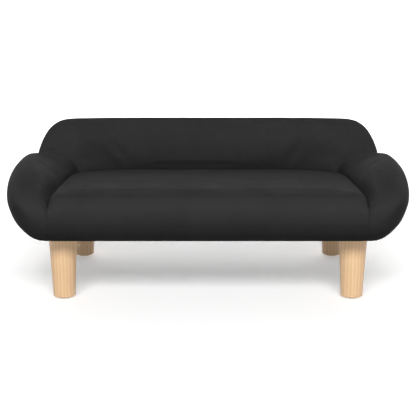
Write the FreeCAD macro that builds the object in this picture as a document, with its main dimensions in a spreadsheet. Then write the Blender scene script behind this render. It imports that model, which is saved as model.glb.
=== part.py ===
"""A raised dog bed shaped like a small sofa, in millimetres.

A softwood base frame carries a plywood deck, a back panel and two arm panels. Foam and a fabric
cover lie over each of them. Four turned legs screw into tee nuts in the frame's corner blocks with
hanger bolts, and each leg stands on a nail-on glide.

X runs along the bed, Y from the open front to the back, Z up. The origin is on the floor under the
middle of the bed.
"""

import FreeCAD, Part

import math
import os

import Sketcher

Vector = FreeCAD.Vector
doc = FreeCAD.newDocument("DogBed")

# ---------------------------------------------------------------- driving dimensions

DIMENSIONS = {
    # the whole bed
    "bed_width": 700,  # over the arms, at their widest
    "bed_depth": 450,
    "bed_height": 270,  # to the top of the back
    "arm_height": 228,
    "arm_width": 95,
    "seat_height": 192,  # to the crown of the seat
    # softwood base frame
    "frame_side_inset": 75,  # from the bed's sides to the frame
    "frame_end_inset": 35,  # from the bed's front and back to the frame
    "rail_thickness": 18,
    "rail_height": 40,
    "block_length": 62,  # corner block, along the bed
    "block_width": 70,
    "block_thickness": 20,
    "deck_thickness": 9,
    # back and arm frames
    "panel_thickness": 12,
    "panel_lift": 15,  # from the frame's underside to the back panel and the battens
    "back_padding": 34,  # over the top of the back panel
    "back_panel_inset": 25,  # from the frame's sides to the back panel's ends
    "back_panel_corner": 40,
    "post_width": 30,
    "post_depth": 25,
    "post_inset": 95,  # from the frame's sides to the middle of each post
    "post_drop": 5,  # from the back panel's top down to the posts'
    "arm_padding": 36,  # over the top of the arm panels
    "arm_panel_front_inset": 50,  # from the front of the bed
    "arm_panel_rear_inset": 28,  # from the rear end of the arm
    "arm_panel_corner": 30,
    "batten_inset": 12,  # from the arm panel's ends
    "batten_thickness": 18,
    # upholstery
    "cover_thickness": 1.5,
    "back_thickness": 108,
    "back_end_inset": 30,  # from the bed's sides to the back's ends
    "back_end_sweep": 62,  # how far the back's outer face curves forward at its ends
    "wing_reach": 39,  # how far the back wraps forward beside the seat
    "arm_front_inset": 8,  # from the front of the seat to the front of the arms
    "seat_corner": 105,  # rear corners of the seat, in plan
    "seat_crown": 4,  # rise from the seat's front edge to its crown
    "seat_fall": 14,  # from the crown of the seat down to the back
    "nose_radius": 38,  # front edge of the seat, above
    "belly_radius": 30,  # front edge of the seat, below
    "soft_gap": 0.4,  # between soft pieces and their neighbours
    "filling_gap": 1.0,  # between a foam filling and its cover
    "dust_cover_thickness": 0.8,
    "dust_cover_margin": 2,
    "dust_cover_leg_gap": 1.2,  # around the top of each leg
    # legs and their fastenings
    "leg_length": 107,
    "leg_top_diameter": 48,
    "leg_foot_diameter": 37,
    "leg_edge": 1.5,
    "leg_side_inset": 107,  # from the bed's sides to the middle of each leg
    "leg_end_inset": 85,
    "glide_thickness": 3,
    "glide_diameter": 24,
    "glide_edge": 1.5,
    "glide_pin_diameter": 2.4,
    "glide_pin_length": 14,
    "bolt_diameter": 8,
    "bolt_length": 50,
    "bolt_in_leg": 26,
    "bolt_chamfer": 0.8,
    "thread_clearance": 0.05,  # on the radius, where a bolt turns
    "tee_barrel_diameter": 10,
    "tee_barrel_length": 15,
    "tee_flange_diameter": 22,
    "tee_flange_thickness": 1.5,
    "fixing_gap": 0.05,  # around a fixing in its hole
    # screws and staples
    "screw_diameter": 3.5,
    "screw_head_diameter": 7,
    "screw_head_depth": 2.5,
    "frame_screw_length": 45,
    "deck_screw_length": 28,
    "back_screw_length": 28,
    "post_screw_length": 30,
    "arm_screw_length": 46,
    "screw_edge": 11,  # least height of a screw above the bottom of a rail or panel
    "screw_end": 30,  # from the ends of a panel or batten to the nearest screw
    "staple_crown": 10,
    "staple_leg": 8,
    "staple_wire": 0.8,
    "staple_end": 84,  # from the ends of the frame to the nearest staple
}

sheet = doc.addObject("Spreadsheet::Sheet", "dims")
for row, (alias, number) in enumerate(DIMENSIONS.items(), start=1):
    sheet.set(f"A{row}", alias)
    sheet.set(f"B{row}", str(number))
    sheet.setAlias(f"B{row}", alias)
doc.recompute()


class Size:
    """A length that carries both its number and its expression in the sheet."""

    def __init__(self, number, text):
        self.number, self.text = float(number), text

    @staticmethod
    def of(value):
        return value if isinstance(value, Size) else Size(value, f"({value})")

    def __add__(self, other):
        other = Size.of(other)
        return Size(self.number + other.number, f"({self.text} + {other.text})")

    def __sub__(self, other):
        other = Size.of(other)
        return Size(self.number - other.number, f"({self.text} - {other.text})")

    def __mul__(self, other):
        other = Size.of(other)
        return Size(self.number * other.number, f"({self.text} * {other.text})")

    def __truediv__(self, other):
        other = Size.of(other)
        return Size(self.number / other.number, f"({self.text} / {other.text})")

    def __neg__(self):
        return self * -1

    def __float__(self):
        return self.number


class Dimensions:
    """The sheet's cells as Sizes, read by their alias."""

    def __getattr__(self, alias):
        return Size(sheet.get(alias), f"dims.{alias}")


dim = Dimensions()
ZERO = Size(0, "0")
TOUCH = 1e-3  # two places nearer than this are the same

# levels and places that several pieces share
underside = dim.leg_length + dim.glide_thickness
rail_top = underside + dim.rail_height
deck_top = rail_top + dim.deck_thickness
half_width = dim.bed_width / 2
half_depth = dim.bed_depth / 2
half_frame = half_width - dim.frame_side_inset
half_frame_depth = half_depth - dim.frame_end_inset
side_rail_inside = half_frame - dim.rail_thickness
end_rail_inside = half_frame_depth - dim.rail_thickness
half_seat = half_width - dim.arm_width
back_face = half_depth - dim.back_thickness  # the back's front face at seat level
arm_front = dim.arm_front_inset - half_depth
arm_rear = back_face - dim.wing_reach - dim.soft_gap
panel_bottom = underside + dim.panel_lift
back_panel_top = dim.bed_height - dim.back_padding
back_panel_back = half_frame_depth + dim.panel_thickness
half_back_panel = half_frame - dim.back_panel_inset
post_front = half_frame_depth - dim.post_depth
post_middle = half_frame - dim.post_inset
post_top = back_panel_top - dim.post_drop
arm_panel_inside = half_frame + dim.batten_thickness
arm_panel_outside = arm_panel_inside + dim.panel_thickness
arm_panel_front = dim.arm_panel_front_inset - half_depth
arm_panel_rear = arm_rear - dim.arm_panel_rear_inset
arm_panel_top = dim.arm_height - dim.arm_padding
batten_front = arm_panel_front + dim.batten_inset
batten_rear = arm_panel_rear - dim.batten_inset
CORNERS = {"front_left": (-1, -1), "front_right": (1, -1), "rear_left": (-1, 1), "rear_right": (1, 1)}
SIDES = {"left": -1, "right": 1}

nodes = []


def node(piece, label):
    """Marks a piece as one that is exported under its own name."""
    piece.Label = label
    nodes.append(piece)
    return piece


def bind(piece, **sizes):
    """Ties properties to the sheet. Place_x, Place_y and Place_z stand for the placement's base."""
    for name, size in sizes.items():
        path = name.replace("Place_", "Placement.Base.")
        piece.setExpression(path, Size.of(size).text)


# ---------------------------------------------------------------- boards, turned pieces and cuts


def board(name, length, width, height, left, front, bottom):
    """A rectangular board, by its size and its lowest corner."""
    piece = doc.addObject("Part::Box", name)
    bind(piece, Length=length, Width=width, Height=height, Place_x=left, Place_y=front, Place_z=bottom)
    return piece


def drill(name, radius, height, x, y, bottom):
    """An upright cylinder to cut a hole with."""
    piece = doc.addObject("Part::Cylinder", name)
    bind(piece, Radius=radius, Height=height, Place_x=x, Place_y=y, Place_z=bottom)
    return piece


def cut(name, base, tool):
    piece = doc.addObject("Part::Cut", name)
    piece.Base, piece.Tool = base, tool
    return piece


def drilled_node(label, blank):
    """A wooden piece or cloth with its screw and staple holes, exported under label."""
    return node(cut(label, blank, doc.getObject("fixing_holes")), label)


def wooden_node(label, *sizes):
    return drilled_node(label, board(label + "_blank", *sizes))


def origin_plane(body, role):
    return next(f for f in body.Origin.OriginFeatures if f.Role == role)


def draw_outline(sketch, points):
    """Draws a closed outline of straight edges and ties each corner to its sizes."""
    spots = [Vector(float(x), float(y), 0) for x, y in points]
    count = len(points)
    for i in range(count):
        sketch.addGeometry(Part.LineSegment(spots[i], spots[(i + 1) % count]), False)
    for i in range(count):
        sketch.addConstraint(Sketcher.Constraint("Coincident", i, 2, (i + 1) % count, 1))
    for i, (x, y) in enumerate(points):
        for kind, size, axis in (("DistanceX", x, -2), ("DistanceY", y, -1)):
            if float(size) == 0:
                sketch.addConstraint(Sketcher.Constraint("PointOnObject", i, 1, axis))
                continue
            made = sketch.addConstraint(Sketcher.Constraint(kind, -1, 1, i, 1, float(size)))
            sketch.setExpression(f"Constraints[{made}]", size.text)


def sketch_in(body, name, role, points):
    sketch = body.newObject("Sketcher::SketchObject", name)
    sketch.AttachmentSupport = [(origin_plane(body, role), "")]
    sketch.MapMode = "FlatFace"
    draw_outline(sketch, points)
    return sketch


def turned(name, outline, x, y, bottom):
    """A piece turned about its own upright axis. The outline is (radius, height) corners."""
    body = doc.addObject("PartDesign::Body", name)
    profile = sketch_in(body, name + "_profile", "XZ_Plane", outline)
    turn = body.newObject("PartDesign::Revolution", name + "_turn")
    turn.Profile = profile
    turn.ReferenceAxis = (profile, ["V_Axis"])
    turn.Angle = 360
    profile.Visibility = False
    bind(body, Place_x=x, Place_y=y, Place_z=bottom)
    return body


def upright_panel(name, length, height, thickness, corner):
    """A panel standing on its long edge, with both top corners rounded and a lower corner at its origin."""
    body = doc.addObject("PartDesign::Body", name)
    outline = [(ZERO, ZERO), (length, ZERO), (length, height), (ZERO, height)]
    profile = sketch_in(body, name + "_outline", "XZ_Plane", outline)
    pad = body.newObject("PartDesign::Pad", name + "_pad")
    pad.Profile = profile
    pad.Reversed = True
    bind(pad, Length=thickness)
    doc.recompute()
    top = float(height)
    across = [
        f"Edge{i}"
        for i, edge in enumerate(pad.Shape.Edges, start=1)
        if all(abs(v.Z - top) < TOUCH for v in edge.Vertexes)
        and abs(edge.Vertexes[0].X - edge.Vertexes[-1].X) < TOUCH
    ]
    rounding = body.newObject("PartDesign::Fillet", name + "_corners")
    rounding.Base = (pad, across)
    bind(rounding, Radius=corner)
    return body


# ---------------------------------------------------------------- base frame


def make_base_frame():
    """Front and rear rails run the full width, and the side and centre rails butt between them."""
    width, depth = half_frame * 2, half_frame_depth * 2
    long_rail = (width, dim.rail_thickness, dim.rail_height)
    short_rail = (dim.rail_thickness, end_rail_inside * 2, dim.rail_height)
    wooden_node("front_rail", *long_rail, -half_frame, -half_frame_depth, underside)
    wooden_node("rear_rail", *long_rail, -half_frame, end_rail_inside, underside)
    wooden_node("left_rail", *short_rail, -half_frame, -end_rail_inside, underside)
    wooden_node("right_rail", *short_rail, side_rail_inside, -end_rail_inside, underside)
    wooden_node("centre_rail", *short_rail, -dim.rail_thickness / 2, -end_rail_inside, underside)
    wooden_node("seat_deck", width, depth, dim.deck_thickness, -half_frame, -half_frame_depth, rail_top)


def make_corner_block(corner, sx, sy):
    """A block glued into the corner of the rails, bored for the tee nut."""
    left = side_rail_inside - dim.block_length if sx > 0 else -side_rail_inside
    front = end_rail_inside - dim.block_width if sy > 0 else -end_rail_inside
    label = "corner_block_" + corner
    sizes = (dim.block_length, dim.block_width, dim.block_thickness)
    blank = board(label + "_blank", *sizes, left, front, underside)
    bore = dim.tee_barrel_diameter / 2 + dim.fixing_gap
    hole = drill(label + "_bore", bore, dim.block_thickness, *leg_place(sx, sy), underside)
    node(cut(label, blank, hole), label)


# ---------------------------------------------------------------- legs


def leg_place(sx, sy):
    return (half_width - dim.leg_side_inset) * sx, (half_depth - dim.leg_end_inset) * sy


def make_leg(corner, x, y):
    """A tapered leg, bored above for its hanger bolt and below for the glide's pin."""
    foot, top = dim.leg_foot_diameter / 2, dim.leg_top_diameter / 2
    bore = dim.bolt_diameter / 2 + dim.thread_clearance
    bore_foot = dim.leg_length - dim.bolt_in_leg
    pin = dim.glide_pin_diameter / 2 + dim.fixing_gap
    outline = [
        (pin, ZERO),
        (foot - dim.leg_edge, ZERO),
        (foot, dim.leg_edge),
        (top, dim.leg_length),
        (bore, dim.leg_length),
        (bore, bore_foot),
        (ZERO, bore_foot),
        (ZERO, dim.glide_pin_length),
        (pin, dim.glide_pin_length),
    ]
    node(turned("leg_" + corner, outline, x, y, dim.glide_thickness), "leg_" + corner)


def make_glide(corner, x, y):
    """A round plastic foot with the pin that is nailed up into the leg."""
    pad, pin = dim.glide_diameter / 2, dim.glide_pin_diameter / 2
    tip = dim.glide_thickness + dim.glide_pin_length
    outline = [
        (ZERO, ZERO),
        (pad - dim.glide_edge, ZERO),
        (pad, dim.glide_edge),
        (pad, dim.glide_thickness),
        (pin, dim.glide_thickness),
        (pin, tip - pin),
        (ZERO, tip),
    ]
    node(turned("glide_" + corner, outline, x, y, ZERO), "glide_" + corner)


def make_hanger_bolt(corner, x, y):
    """A headless bolt, half in the leg and half in the tee nut, chamfered at both ends."""
    radius, chamfer = dim.bolt_diameter / 2, dim.bolt_chamfer
    outline = [
        (ZERO, ZERO),
        (radius - chamfer, ZERO),
        (radius, chamfer),
        (radius, dim.bolt_length - chamfer),
        (radius - chamfer, dim.bolt_length),
        (ZERO, dim.bolt_length),
    ]
    label = "hanger_bolt_" + corner
    node(turned(label, outline, x, y, underside - dim.bolt_in_leg), label)


def make_tee_nut(corner, x, y):
    """A flanged nut whose barrel hangs in the corner block from above."""
    thread = dim.bolt_diameter / 2 + dim.thread_clearance
    barrel, flange = dim.tee_barrel_diameter / 2, dim.tee_flange_diameter / 2
    top = dim.tee_barrel_length + dim.tee_flange_thickness
    outline = [
        (thread, ZERO),
        (barrel, ZERO),
        (barrel, dim.tee_barrel_length),
        (flange, dim.tee_barrel_length),
        (flange, top),
        (thread, top),
    ]
    bottom = underside + dim.block_thickness - dim.tee_barrel_length
    node(turned("tee_nut_" + corner, outline, x, y, bottom), "tee_nut_" + corner)


# ---------------------------------------------------------------- back and arm frames


def make_back_frame():
    """A panel on the rear rail's outer face, stiffened by two posts that stand on the deck."""
    panel = upright_panel(
        "back_panel_blank",
        half_back_panel * 2,
        back_panel_top - panel_bottom,
        dim.panel_thickness,
        dim.back_panel_corner,
    )
    bind(panel, Place_x=-half_back_panel, Place_y=half_frame_depth, Place_z=panel_bottom)
    drilled_node("back_panel", panel)
    for side, sign in SIDES.items():
        left = post_middle * sign - dim.post_width / 2
        sizes = (dim.post_width, dim.post_depth, post_top - deck_top)
        wooden_node("back_post_" + side, *sizes, left, post_front, deck_top)


def make_arm_frame(side, sign):
    """A batten spaces the arm panel out from the side rail."""
    left = half_frame if sign > 0 else -arm_panel_inside
    sizes = (dim.batten_thickness, batten_rear - batten_front, rail_top - panel_bottom)
    wooden_node("arm_batten_" + side, *sizes, left, batten_front, panel_bottom)
    panel = upright_panel(
        "arm_panel_blank_" + side,
        arm_panel_rear - arm_panel_front,
        arm_panel_top - panel_bottom,
        dim.panel_thickness,
        dim.arm_panel_corner,
    )
    panel.Placement.Rotation = FreeCAD.Rotation(Vector(0, 0, 1), 90)
    right = arm_panel_outside if sign > 0 else -arm_panel_inside
    bind(panel, Place_x=right, Place_y=arm_panel_front, Place_z=panel_bottom)
    drilled_node("arm_panel_" + side, panel)


# ---------------------------------------------------------------- upholstery

ROLL_WAIST = 0.48  # height of a padded wall's widest place, as a share of its section
ROLL_FLAT = 0.62  # how much of its width stays flat underneath
ROLL_STEPS = 4  # points to each quarter of its curve
ARM_CREST, BACK_CREST = 0.60, 0.60  # where the top of the roll lies, as a share of its width
ARM_CREASE, BACK_CREASE = 0.45, 0.40  # how high the flat inner face goes
SQUARENESS = 2.4  # of a rounded end: 2 is an ellipse
LEAN = 1.5  # the same for the sloping face towards the seat, which is nearly straight
ARM_STATIONS, BACK_STATIONS = 21, 31
ARM_SHOULDER = 0.48  # where the arm's front starts to round down, as a share of its length
ARM_END_WIDTH, ARM_END_HEIGHT = 0.28, 0.36  # least share that its front end keeps
ARM_REAR_WIDTH, ARM_REAR_HEIGHT = 0.06, 0.10  # share that it loses towards the back
BACK_STRAIGHT = 0.75  # of the back's half width, beyond which its ends round off
BACK_END_HEIGHT = 0.45
END_CUT = 0.985  # a rounded end stops short of its point


def rounded(share):
    """How much of a full size is left at this share of the way to a rounded end."""
    return (1 - min(share * END_CUT, 1.0) ** SQUARENESS) ** (1 / SQUARENESS)


def round_rear_corners(block, radius):
    """Rounds the two upright edges at the rear of a block that is centred on the bed."""
    rear = block.BoundBox.YMax
    upright = [e for e in block.Edges if abs(e.Vertexes[0].X - e.Vertexes[-1].X) < TOUCH]
    corners = [e for e in upright if all(v.Y > rear - TOUCH for v in e.Vertexes)]
    return block.makeFillet(radius, corners)


def seat_plan(grow):
    """An upright block with the seat's plan, grown all round. It is taller and longer than the bed."""
    half, rear = float(half_seat) + grow, float(back_face) + grow
    front, tall = -float(dim.bed_depth), 2 * float(dim.bed_height)
    block = Part.makeBox(2 * half, rear - front, tall, Vector(-half, front, 0))
    return round_rear_corners(block, float(dim.seat_corner) + grow)


def corner_loss(past):
    """How much a rounded rear corner takes off the seat's edge, this far into the corner."""
    radius = float(dim.seat_corner)
    return radius - math.sqrt(max(0.0, radius**2 - max(0.0, past) ** 2))


def seat_rear(x):
    """How far back the seat reaches at x."""
    return float(back_face) - corner_loss(abs(x) - float(half_seat - dim.seat_corner))


def seat_side(y):
    """How far out the seat reaches at y."""
    return float(half_seat) - corner_loss(y - float(back_face - dim.seat_corner))


def quarter(centre, radii, start, squareness=SQUARENESS):
    """Points along a quarter of a squarish ellipse, turning clockwise from the start angle."""
    points = []
    for step in range(ROLL_STEPS):
        angle = math.radians(start - 90 * step / ROLL_STEPS)
        spot = [
            middle + radius * math.copysign(abs(share) ** (2 / squareness), share)
            for middle, radius, share in zip(centre, radii, (math.cos(angle), math.sin(angle)))
        ]
        points.append(spot)
    return points


def roll_section(near, wide, low, tall, crease, crest, place):
    """A padded wall's outline: straight inside and below, and one curve over. place makes a point."""
    shares = [
        *quarter((crest, crease), (crest, 1 - crease), 180, LEAN),
        *quarter((crest, ROLL_WAIST), (1 - crest, 1 - ROLL_WAIST), 90),
        *quarter((ROLL_FLAT, ROLL_WAIST), (1 - ROLL_FLAT, ROLL_WAIST), 0),
        (ROLL_FLAT, 0),
    ]
    curve = [place(near + across * wide, low + up * tall) for across, up in shares]
    corner = place(near, low)
    over = Part.BSplineCurve()
    over.interpolate(Points=curve, InitialTangent=curve[0] - corner, FinalTangent=corner - curve[-1])
    edges = [Part.LineSegment(corner, curve[0]), over, Part.LineSegment(curve[-1], corner)]
    return Part.Wire([edge.toShape() for edge in edges])


def arm_form(sign, inset):
    """One arm's outer form, taken in by inset. Its front end is rounded in plan and from the side."""
    apart = float(dim.soft_gap) + inset
    outside = float(half_width) - inset
    low, high = float(underside) + inset, float(dim.arm_height) - inset
    front, rear = float(arm_front) + inset, float(arm_rear) - inset
    wires = []
    for i in range(ARM_STATIONS):
        share = i / (ARM_STATIONS - 1)
        left = rounded(max(0.0, 1 - share / ARM_SHOULDER))
        back = max(0.0, (share - ARM_SHOULDER) / (1 - ARM_SHOULDER)) ** 2
        full = outside - float(half_seat) - apart
        far = outside - full * (ARM_REAR_WIDTH * back + (1 - ARM_END_WIDTH) * (1 - left))
        tall = (high - low) * (ARM_END_HEIGHT + (1 - ARM_END_HEIGHT) * left - ARM_REAR_HEIGHT * back)
        y = front + (rear - front) * share
        near = seat_side(y) + apart

        def place(across, up, y=y):
            return Vector(sign * across, y, up)

        wires.append(roll_section(near, far - near, low, tall, ARM_CREASE, ARM_CREST, place))
    return Part.makeLoft(wires, True, True).cut(seat_plan(apart))


def back_form(inset):
    """The back's outer form, taken in by inset. Its ends wrap forward beside the seat's rear corners."""
    end = float(half_width - dim.back_end_inset) - inset
    low, high = float(underside) + inset, float(dim.bed_height) - inset
    outside = float(half_depth) - inset
    wing = float(back_face - dim.wing_reach)
    wires = []
    for i in range(BACK_STATIONS):
        x = -end * math.cos(math.pi * i / (BACK_STATIONS - 1))
        past = max(0.0, (abs(x) / end - BACK_STRAIGHT) / (1 - BACK_STRAIGHT))
        left = rounded(past**1.5)
        near = max(seat_rear(x), wing) + float(dim.soft_gap) + inset
        wide = outside - float(dim.back_end_sweep) * (1 - left) - near
        tall = (high - low) * (BACK_END_HEIGHT + (1 - BACK_END_HEIGHT) * left)

        def place(across, up, x=x):
            return Vector(x, across, up)

        wires.append(roll_section(near, wide, low, tall, BACK_CREASE, BACK_CREST, place))
    return Part.makeLoft(wires, True, True).cut(seat_plan(float(dim.soft_gap) + inset))


def seat_form(inset):
    """The seat's outer form, taken in by inset: a bull-nosed bar with rounded rear corners."""
    front, rear = inset - float(half_depth), float(back_face) - inset
    low, high = float(underside) + inset, float(dim.seat_height) - inset
    nose, belly = float(dim.nose_radius) - inset, float(dim.belly_radius) - inset
    brow, back = high - float(dim.seat_crown), high - float(dim.seat_fall)
    bevel = 1 - math.sqrt(0.5)  # where a quarter circle's middle lies, as a share of its radius

    def spot(y, z):
        return Vector(0, y, z)

    belly_end = spot(front, low + belly)
    nose_start, nose_end = spot(front, brow - nose), spot(front + nose, brow)
    profile = [
        Part.Arc(spot(front + belly, low), spot(front + belly * bevel, low + belly * bevel), belly_end),
        Part.LineSegment(belly_end, nose_start),
        Part.Arc(nose_start, spot(front + nose * bevel, brow - nose * bevel), nose_end),
        Part.Arc(nose_end, spot((front + rear) / 2, high), spot(rear, back)),
        Part.LineSegment(spot(rear, back), spot(rear, low)),
        Part.LineSegment(spot(rear, low), spot(front + belly, low)),
    ]
    half = float(half_seat) - inset
    side = Part.Face(Part.Wire([edge.toShape() for edge in profile]))
    side.translate(Vector(-half, 0, 0))
    return round_rear_corners(side.extrude(Vector(2 * half, 0, 0)), float(dim.seat_corner) - inset)


def space(left, right, front, rear, low, high):
    """The room that a hard piece takes, with the soft gap all round it."""
    left, right = sorted((float(left), float(right)))
    front, rear, low, high = float(front), float(rear), float(low), float(high)
    room = float(dim.soft_gap)
    corner = Vector(left - room, front - room, low - room)
    return Part.makeBox(right - left + 2 * room, rear - front + 2 * room, high - low + 2 * room, corner)


def frame_space():
    """The base frame's room, open below so that the upholstery ends at the frame's edges."""
    return space(-half_frame, half_frame, -half_frame_depth, half_frame_depth, ZERO, deck_top)


def back_frame_space():
    half = half_back_panel
    panel = space(-half, half, half_frame_depth, back_panel_back, panel_bottom, back_panel_top)
    posts = [
        space(
            post_middle * sign - dim.post_width / 2,
            post_middle * sign + dim.post_width / 2,
            post_front,
            half_frame_depth,
            deck_top,
            post_top,
        )
        for sign in SIDES.values()
    ]
    return [panel, *posts]


def arm_frame_space(sign):
    near, middle, far = half_frame * sign, arm_panel_inside * sign, arm_panel_outside * sign
    return [
        space(near, middle, batten_front, batten_rear, panel_bottom, rail_top),
        space(middle, far, arm_panel_front, arm_panel_rear, panel_bottom, arm_panel_top),
    ]


def soft_node(label, shape):
    piece = doc.addObject("Part::Feature", label)
    piece.Shape = shape
    return node(piece, label)


def largest_solid(shape):
    return max(shape.Solids, key=lambda solid: solid.Volume)


def upholster(part, side, form, hard_spaces):
    """A foam filling and the cover over it, both cleared from the frame that they lie over."""
    spaces = [frame_space(), *hard_spaces]
    cover = float(dim.cover_thickness)
    filling = form(cover + float(dim.filling_gap)).cut(spaces)
    soft_node(f"{part}_foam{side}", largest_solid(filling))
    skin = form(0.0).cut([form(cover), *spaces])
    soft_node(f"{part}_cover{side}", largest_solid(skin))


def make_upholstery():
    upholster("seat", "", seat_form, [])
    upholster("back", "", back_form, back_frame_space())
    for side, sign in SIDES.items():
        upholster("arm", "_" + side, lambda inset, sign=sign: arm_form(sign, inset), arm_frame_space(sign))


def make_dust_cover():
    """Thin cloth under the frame, with a round hole for the top of each leg."""
    thick = dim.dust_cover_thickness
    half, half_deep = half_frame - dim.dust_cover_margin, half_frame_depth - dim.dust_cover_margin
    low = underside - thick
    cloth = board("dust_cloth", half * 2, half_deep * 2, thick, -half, -half_deep, low)
    around = dim.leg_top_diameter / 2 + dim.dust_cover_leg_gap
    for corner, signs in CORNERS.items():
        hole = drill("dust_hole_" + corner, around, thick, *leg_place(*signs), low)
        cloth = cut("dust_cloth_" + corner, cloth, hole)
    drilled_node("dust_cover", cloth)


# ---------------------------------------------------------------- screws and staples


def screw(start, direction, length, room):
    """A countersunk wood screw with its head's face at start, made larger by room."""
    shank, head = float(dim.screw_diameter) / 2 + room, float(dim.screw_head_diameter) / 2 + room
    depth, tip = float(dim.screw_head_depth), float(length) + room
    outline = [(0, 0), (head, 0), (shank, depth), (shank, tip - 2 * shank), (0, tip)]
    wire = Part.makePolygon([Vector(r, 0, z) for r, z in [*outline, outline[0]]])
    solid = Part.Face(wire).revolve(Vector(0, 0, 0), Vector(0, 0, 1), 360)
    turn = FreeCAD.Rotation(Vector(0, 0, 1), Vector(*direction))
    solid.Placement = FreeCAD.Placement(Vector(*start), turn)
    return solid


def spread(low, high, count):
    """This many places, evenly spaced from low to high."""
    low, high = float(low), float(high)
    return [low + (high - low) * i / (count - 1) for i in range(count)]


def frame_screws(room):
    """Through the long rails into the ends of the others."""
    across = float(half_frame - dim.rail_thickness / 2)
    levels = spread(underside + dim.screw_edge, rail_top - dim.screw_edge, 2)
    return [
        screw((x, sign * float(half_frame_depth), z), (0, -sign, 0), dim.frame_screw_length, room)
        for x in (-across, 0, across)
        for sign in SIDES.values()
        for z in levels
    ]


def deck_screws(room):
    """Down through the deck into the long rails."""
    y = float(half_frame_depth - dim.rail_thickness / 2)
    end = side_rail_inside - dim.screw_end
    return [
        screw((x, sign * y, float(deck_top)), (0, 0, -1), dim.deck_screw_length, room)
        for x in spread(-end, end, 4)
        for sign in SIDES.values()
    ]


def back_screws(room):
    """Through the back panel into the rear rail and into the posts."""
    y = float(back_panel_back)
    end = half_back_panel - dim.screw_end / 2
    rail = [
        screw((x, y, float(panel_bottom + dim.screw_edge)), (0, -1, 0), dim.back_screw_length, room)
        for x in spread(-end, end, 6)
    ]
    posts = [
        screw((sign * float(post_middle), y, z), (0, -1, 0), dim.post_screw_length, room)
        for sign in SIDES.values()
        for z in spread(deck_top + dim.screw_edge, post_top - dim.screw_end, 2)
    ]
    return rail + posts


def arm_screws(room):
    """From inside the frame through the side rail and the batten into the arm panel."""
    z = float((panel_bottom + rail_top) / 2)
    return [
        screw((sign * float(side_rail_inside), y, z), (sign, 0, 0), dim.arm_screw_length, room)
        for sign in SIDES.values()
        for y in spread(batten_front + dim.screw_end, batten_rear - dim.screw_end, 3)
    ]


def staple(x, y, turn, room):
    """A wire staple driven up through the dust cover. With room, it is the two holes for its legs."""
    wire, crown, leg = float(dim.staple_wire), float(dim.staple_crown), float(dim.staple_leg)
    thick = wire + 2 * room
    shanks = [
        Part.makeBox(thick, thick, leg + room, Vector(end - thick / 2, -thick / 2, 0))
        for end in ((wire - crown) / 2, (crown - wire) / 2)
    ]
    if not room:
        bar = Part.makeBox(crown, wire, wire, Vector(-crown / 2, -wire / 2, -wire))
        shanks = [bar.fuse(shanks).removeSplitter().Solids[0]]
    low = float(underside - dim.dust_cover_thickness)
    for solid in shanks:
        solid.Placement = FreeCAD.Placement(Vector(x, y, low), FreeCAD.Rotation(Vector(0, 0, 1), turn))
    return shanks


def staples(room):
    """A row of staples along the middle of each outer rail."""
    x_line = float(half_frame - dim.rail_thickness / 2)
    y_line = float(half_frame_depth - dim.rail_thickness / 2)
    x_end, y_end = half_frame - dim.staple_end, half_frame_depth - dim.staple_end
    driven = []
    for sign in SIDES.values():
        for x in spread(-x_end, x_end, 6):
            driven += staple(x, sign * y_line, 0, room)
        for y in spread(-y_end, y_end, 4):
            driven += staple(sign * x_line, y, 90, room)
    return driven


FIXINGS = {
    "frame_screws": frame_screws,
    "deck_screws": deck_screws,
    "back_screws": back_screws,
    "arm_screws": arm_screws,
    "dust_cover_staples": staples,
}


def make_fixings():
    """Makes each kind of fixing one node of separate solids, and the tool that cuts all their holes."""
    for label, driven in FIXINGS.items():
        soft_node(label, Part.makeCompound(driven(0.0)))
    holes = doc.addObject("Part::Feature", "fixing_holes")
    room = float(dim.fixing_gap)
    holes.Shape = Part.makeCompound([hole for driven in FIXINGS.values() for hole in driven(room)])


# ---------------------------------------------------------------- build, check and export


def main():
    make_fixings()
    make_base_frame()
    for corner, (sx, sy) in CORNERS.items():
        x, y = leg_place(sx, sy)
        make_corner_block(corner, sx, sy)
        make_leg(corner, x, y)
        make_glide(corner, x, y)
        make_hanger_bolt(corner, x, y)
        make_tee_nut(corner, x, y)
    make_back_frame()
    for side, sign in SIDES.items():
        make_arm_frame(side, sign)
    make_upholstery()
    make_dust_cover()
    doc.recompute()

    failed = [o.Label for o in doc.Objects if {"Invalid", "Error"} & set(o.State)]
    if failed:
        raise RuntimeError(f"these objects did not build: {failed}")
    for piece in nodes:
        if piece.Shape.isNull() or not piece.Shape.isValid() or not piece.Shape.Solids:
            raise RuntimeError(f"{piece.Label} has no valid solid")

    os.makedirs("parts", exist_ok=True)
    for piece in nodes:
        piece.Shape.exportStep(f"parts/{piece.Label}.step")
    print(len(nodes), "sub-parts")


main()
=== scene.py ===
# %% [markdown]
# # A dog bed on a timber frame
# A low bed with a padded back, two rolled arms and a fixed seat, covered all over in short-pile velvet and
# standing on four turned legs. The hard parts come from the frame: rails, blocks, boards, legs, bolts and
# screws. This lesson builds what a frame can't hold, the soft upholstery, and then gives every part a finish.
#
# The frame is loaded first and its box is kept.

# %% Load the frame
import math

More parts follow.
